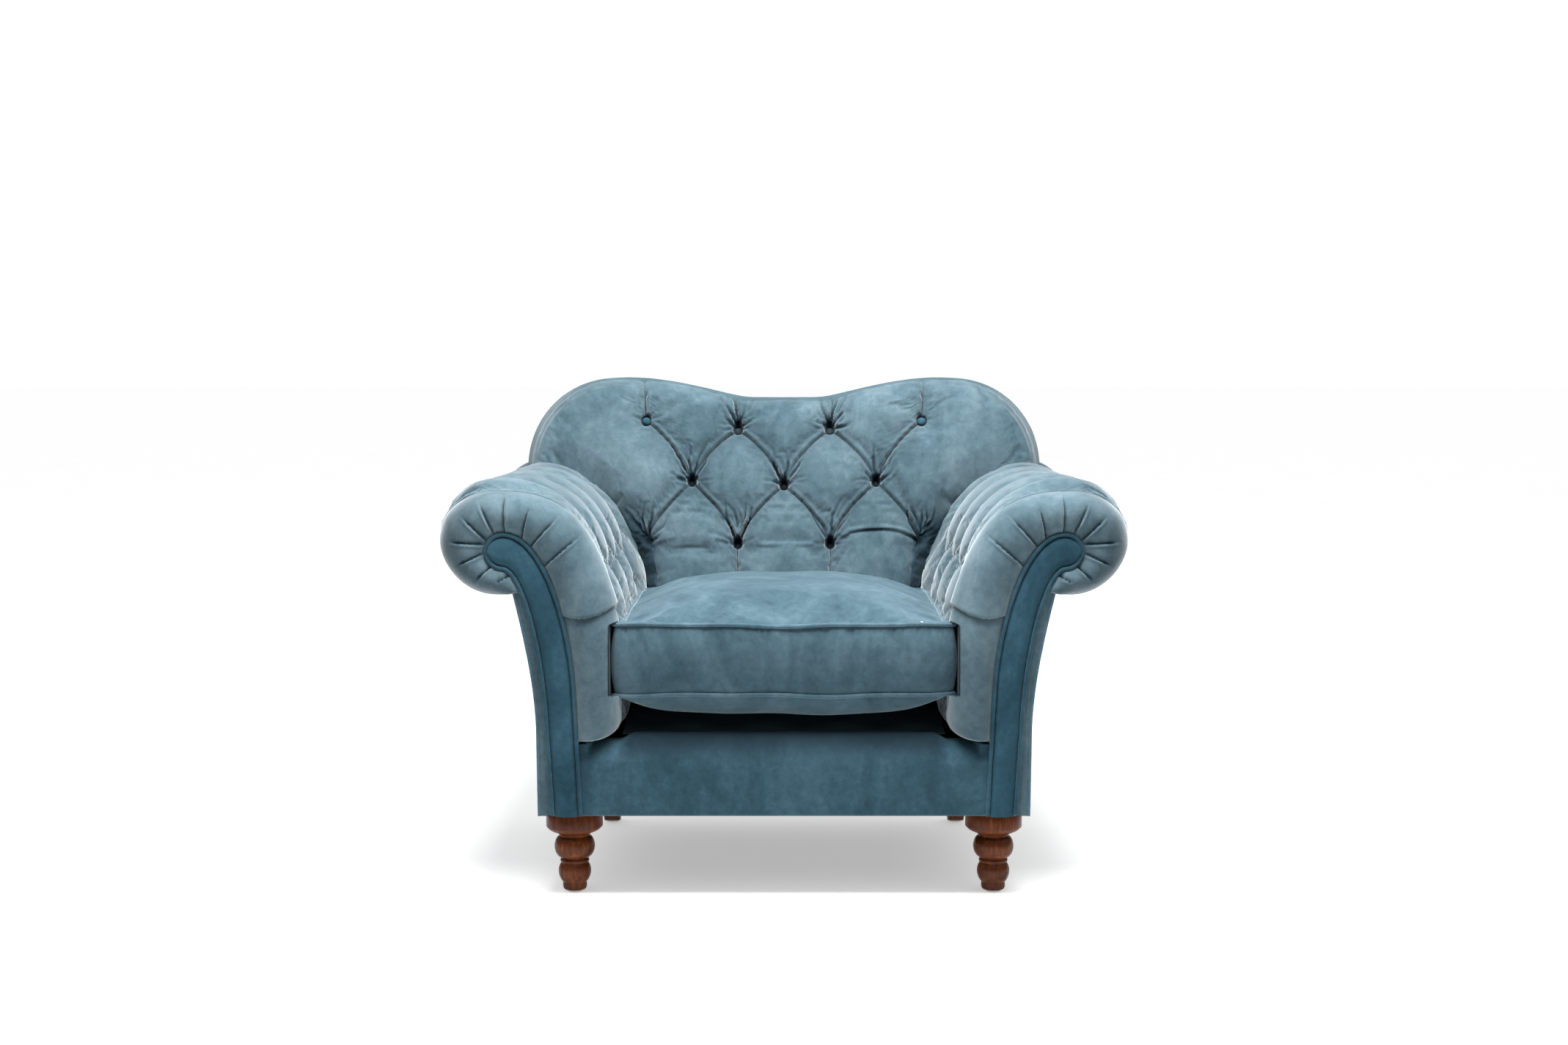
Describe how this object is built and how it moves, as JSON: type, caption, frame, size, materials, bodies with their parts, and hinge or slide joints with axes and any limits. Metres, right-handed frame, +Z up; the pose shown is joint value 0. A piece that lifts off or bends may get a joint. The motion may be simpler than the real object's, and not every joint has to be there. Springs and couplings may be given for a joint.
{
  "type": "upholstered armchair",
  "caption": "Button-backed scroll-arm armchair with a camel crest, loose piped box cushion, plain front border and turned front legs.",
  "frame": {"origin": "on the floor, under the middle of the chair's overall box", "axes": "+X across the chair to a sitter's left, +Y towards the back of the chair, +Z up"},
  "size_m": [1.168, 0.8568, 0.8896],
  "materials": {
    "velvet": "blue-teal cut velvet with a soft sheen",
    "piping": "velvet over a round cord",
    "cushion_fibre": "foam core in a soft wrap",
    "hardwood": "planed beech, unfinished",
    "plywood": "sanded plywood, unfinished",
    "leg_wood": "dark walnut stain under satin lacquer",
    "spring_steel": "oiled spring wire",
    "fixing_steel": "zinc plated",
    "insert_brass": "turned brass",
    "webbing": "woven jute strap",
    "dust_cloth": "thin black non-woven cloth",
    "zip": "coil zip on a woven tape",
    "glide_plastic": "hard nylon"
  },
  "bodies": {
    "chair": {"front_rail": "hardwood", "rear_rail": "hardwood", "side_rail_left": "hardwood", "side_rail_right": "hardwood", "arm_stump_left": "hardwood", "arm_stump_right": "hardwood", "rear_leg_blocks": "hardwood", "frame_dowels": "hardwood", "arm_front_board_left": "plywood", "arm_front_board_right": "plywood", "arm_rear_board_left": "plywood", "arm_rear_board_right": "plywood", "arm_top_rail_left": "hardwood", "arm_top_rail_right": "hardwood", "arm_tack_rail_left": "hardwood", "arm_tack_rail_right": "hardwood", "back_post_left": "hardwood", "back_post_right": "hardwood", "crest_board": "plywood", "back_tack_rail": "hardwood", "back_stay": "hardwood", "back_webbing": "webbing", "seat_springs": "spring_steel", "spring_clips": "fixing_steel", "seat_deck": "velvet", "dust_cover": "dust_cloth", "inside_back": "velvet", "back_buttons": "velvet", "outside_back": "velvet", "inside_arm_left": "velvet", "inside_arm_right": "velvet", "arm_buttons_left": "velvet", "arm_buttons_right": "velvet", "outside_arm_left": "velvet", "outside_arm_right": "velvet", "scroll_cap_left": "velvet", "scroll_cap_right": "velvet", "arm_facing_left": "velvet", "arm_facing_right": "velvet", "facing_piping_left": "piping", "facing_piping_right": "piping", "front_border": "velvet", "leg_front_left": "leg_wood", "leg_front_right": "leg_wood", "leg_rear_left": "leg_wood", "leg_rear_right": "leg_wood", "leg_bolts": "fixing_steel", "leg_inserts": "insert_brass", "leg_glides": "glide_plastic"},
    "seat_cushion": {"cushion_cover": "velvet", "cushion_core": "cushion_fibre", "cushion_piping_top": "piping", "cushion_piping_bottom": "piping", "zip_tape": "zip"},
    "zip_runner": {"zip_slider": "fixing_steel"}
  },
  "joints": [
    {"name": "cushion_lift", "type": "slide", "parent": "chair", "child": "seat_cushion", "axis": [0, 0, 1], "range_m": [0, 0.6]},
    {"name": "zip_slide", "type": "slide", "parent": "seat_cushion", "child": "zip_runner", "axis": [-1, 0, 0], "range_m": [0, 0.376]}
  ]
}
